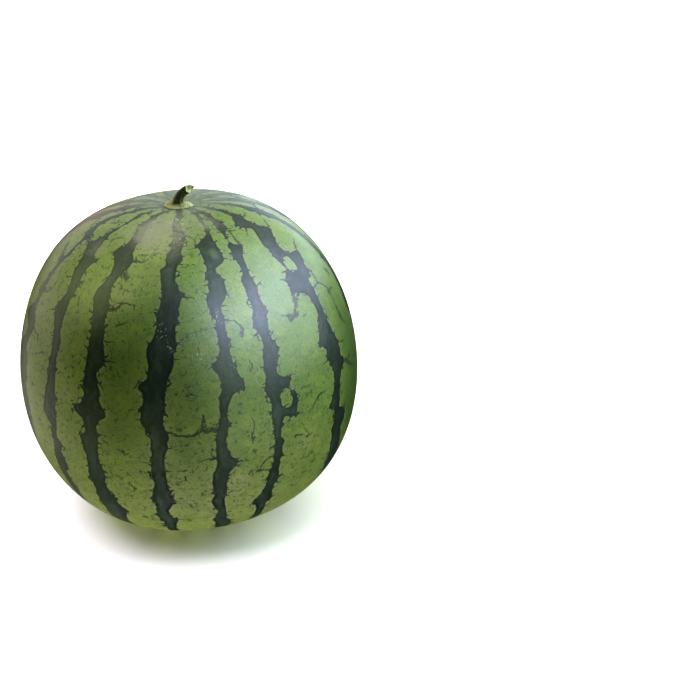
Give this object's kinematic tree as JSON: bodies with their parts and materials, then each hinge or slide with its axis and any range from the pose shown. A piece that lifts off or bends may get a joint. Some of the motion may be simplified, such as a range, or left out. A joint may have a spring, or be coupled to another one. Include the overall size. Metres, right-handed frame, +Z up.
{
  "type": "watermelon",
  "caption": "Small round whole watermelon with a striped rind, standing on its blossom end, with a short cut stem stub in a corky collar on top.",
  "frame": {"origin": "middle of the small flat spot at the blossom end, where the fruit rests", "axes": "+Z up through the fruit to its stem end, +X towards the side that the stem leans to, -Y towards the front"},
  "size_m": [0.2286, 0.2277, 0.2351],
  "materials": {
    "rind": "semi-gloss waxy fruit rind, yellow-green with jagged black-green stripes",
    "stem": "dry ribbed olive-brown stem stub, pale corky collar and pale cut end"
  },
  "bodies": {
    "root": {"fruit": "rind", "stem": "stem"}
  },
  "joints": []
}
